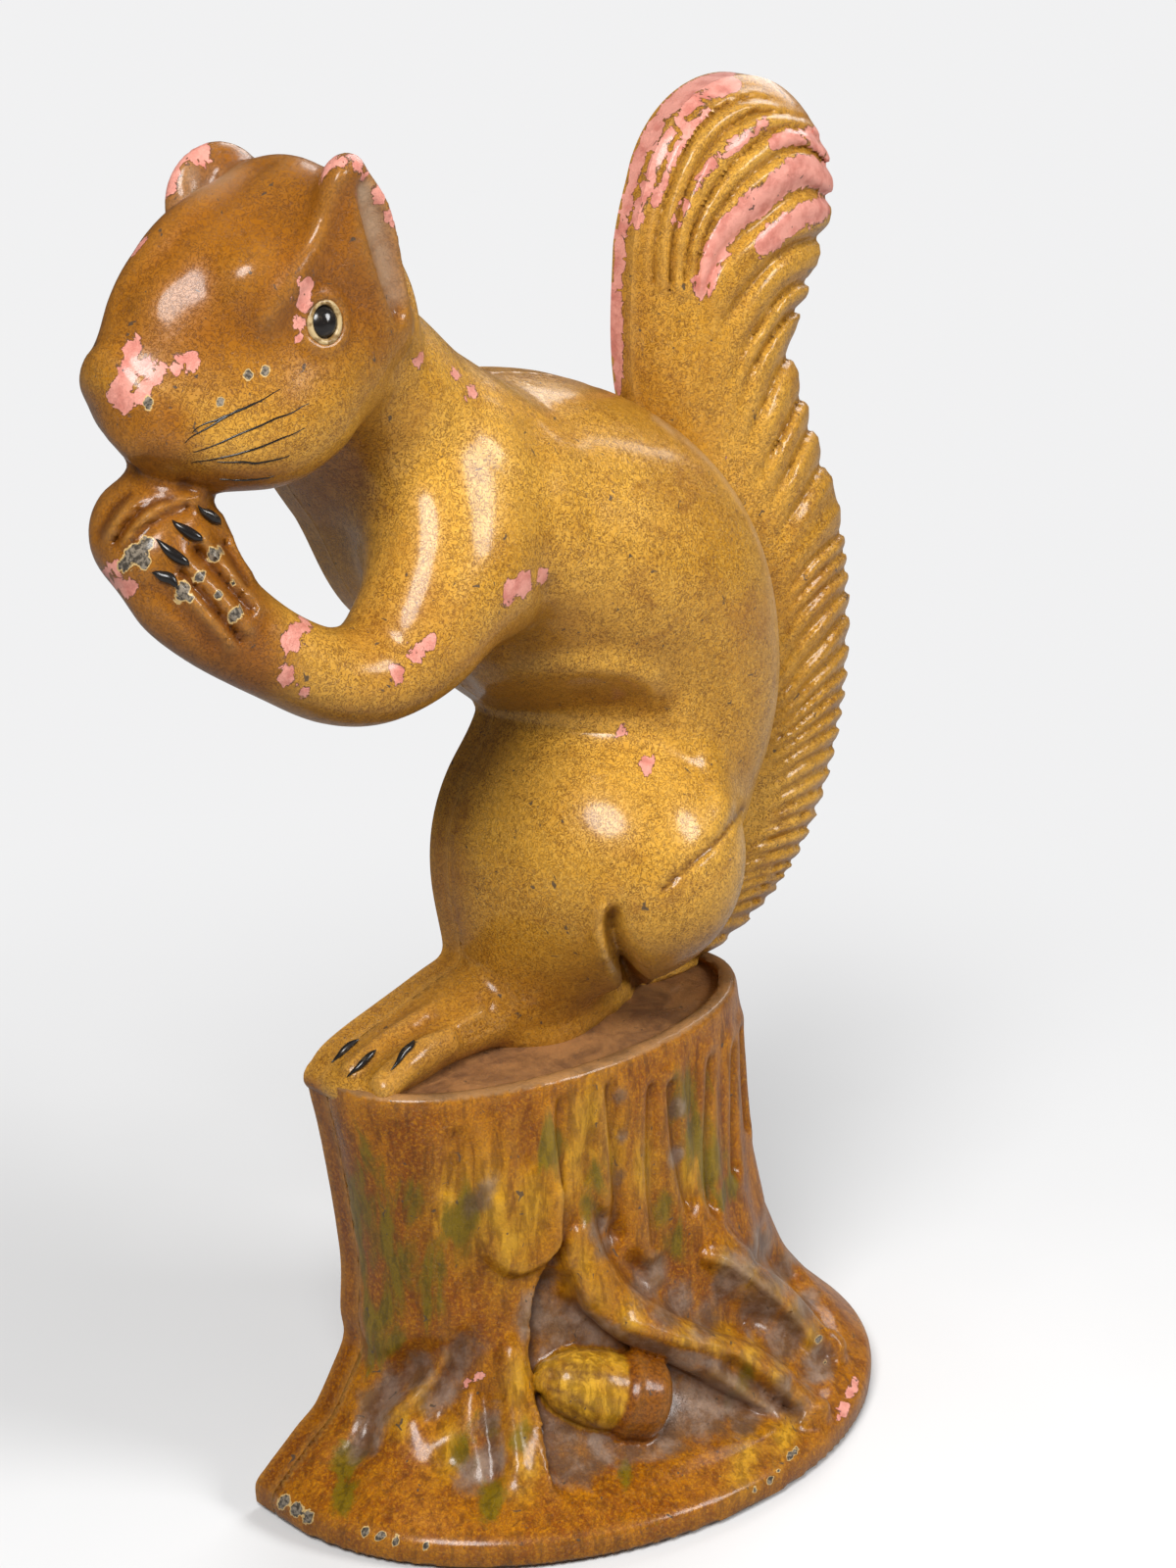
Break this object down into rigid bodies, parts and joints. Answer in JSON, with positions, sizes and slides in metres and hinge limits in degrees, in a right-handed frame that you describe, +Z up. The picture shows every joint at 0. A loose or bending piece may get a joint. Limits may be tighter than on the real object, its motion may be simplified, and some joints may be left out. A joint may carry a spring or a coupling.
{
  "type": "squirrel doorstop",
  "caption": "Painted cast-iron doorstop: a squirrel eating a nut on a tree stump, a hollow relief casting screwed to a flat back plate, on rubber floor pads.",
  "frame": {"origin": "middle of the object's footprint box, on the floor", "axes": "+X from the nose towards the tail, -Y the relief's front, +Y the flat back, +Z up"},
  "size_m": [0.2112, 0.0728, 0.2913],
  "materials": {
    "painted_casting": "glossy varnished ochre paint, chipped",
    "painted_back": "worn ochre paint",
    "screw_steel": "dull turned steel",
    "pad_rubber": "matt"
  },
  "bodies": {
    "root": {"front_casting": "painted_casting", "back_plate": "painted_back", "screw_shoulder": "screw_steel", "screw_haunch": "screw_steel", "screw_stump_left": "screw_steel", "screw_stump_right": "screw_steel", "pad_left": "pad_rubber", "pad_right": "pad_rubber", "pad_front": "pad_rubber"}
  },
  "joints": []
}
